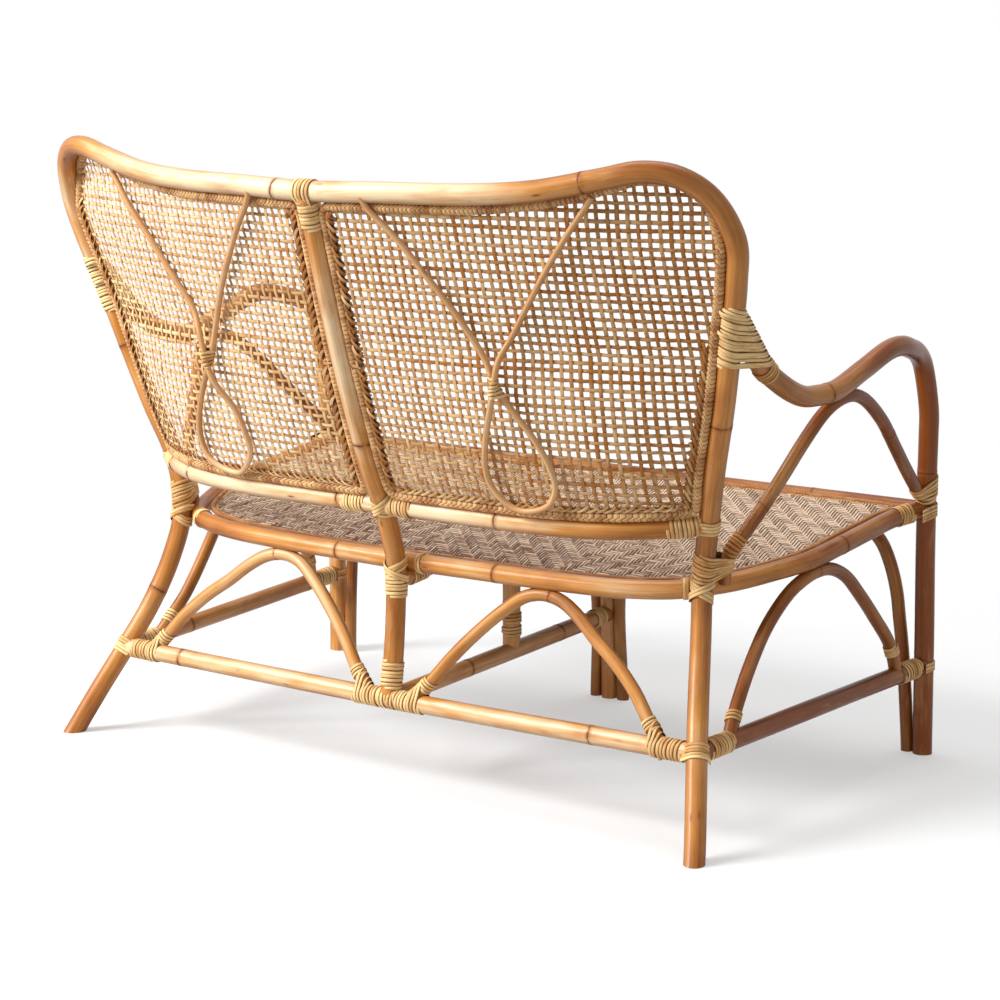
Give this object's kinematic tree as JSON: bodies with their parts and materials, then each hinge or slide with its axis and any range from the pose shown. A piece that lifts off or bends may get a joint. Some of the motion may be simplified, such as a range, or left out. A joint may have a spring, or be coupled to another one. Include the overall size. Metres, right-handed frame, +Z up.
{
  "type": "rattan garden sofa",
  "caption": "Bent rattan settee with a woven back in two panels, woven seat, curved arms, arched braces and cane-wrapped joints",
  "frame": {"origin": "on the floor, under the middle of the overall box", "axes": "+Z up, the front of the seat faces -Y, +X along the width"},
  "size_m": [1.2024, 0.7868, 0.9162],
  "materials": {
    "pole": "varnished rattan pole, honey brown, satin, with reddish brown node rings",
    "arch": "thinner varnished rattan pole, honey brown, satin",
    "loop": "thin bent rattan core, pale tan, low sheen",
    "border_rod": "rod wound with flat cane, straw brown, low sheen",
    "back_weave": "open square weave of flat cane, honey and brown strands, low sheen",
    "seat_weave": "close twill of flat cane, pinkish tan with darker crossing strands, low sheen",
    "cane": "split cane winding, pale straw, satin"
  },
  "bodies": {
    "root": {"arm_arch_left": "arch", "arm_arch_right": "arch", "arm_binding_left": "cane", "arm_binding_right": "cane", "arm_left": "pole", "arm_right": "pole", "back_hoop": "pole", "back_loop_left": "loop", "back_loop_right": "loop", "back_panel_left": "back_weave", "back_panel_right": "back_weave", "back_rail_left": "pole", "back_rail_right": "pole", "back_rope_left": "border_rod", "back_rope_right": "border_rod", "centre_post": "pole", "front_arch_left": "arch", "front_arch_right": "arch", "front_post": "pole", "front_post_binding": "cane", "front_rail": "pole", "middle_stretcher": "pole", "post_foot_binding": "cane", "rail_leg_binding_left": "cane", "rail_leg_binding_right": "cane", "rail_post_binding": "cane", "rear_arch_left": "arch", "rear_arch_right": "arch", "rear_centre_binding_left": "cane", "rear_centre_binding_right": "cane", "rear_corner_binding_left": "cane", "rear_corner_binding_right": "cane", "rear_stretcher": "pole", "seat_crossbar": "pole", "seat_front_binding_left": "cane", "seat_front_binding_right": "cane", "seat_hoop": "pole", "seat_leg_binding_left": "cane", "seat_leg_binding_right": "cane", "seat_panel": "seat_weave", "seat_post_binding": "cane", "seat_rope": "border_rod", "short_post": "pole", "short_post_binding": "cane", "side_arch_left": "arch", "side_arch_right": "arch", "side_front_binding_left": "cane", "side_front_binding_right": "cane", "side_stretcher_left": "pole", "side_stretcher_right": "pole", "tie_binding_left": "cane", "tie_binding_right": "cane", "top_binding": "cane"}
  },
  "joints": []
}
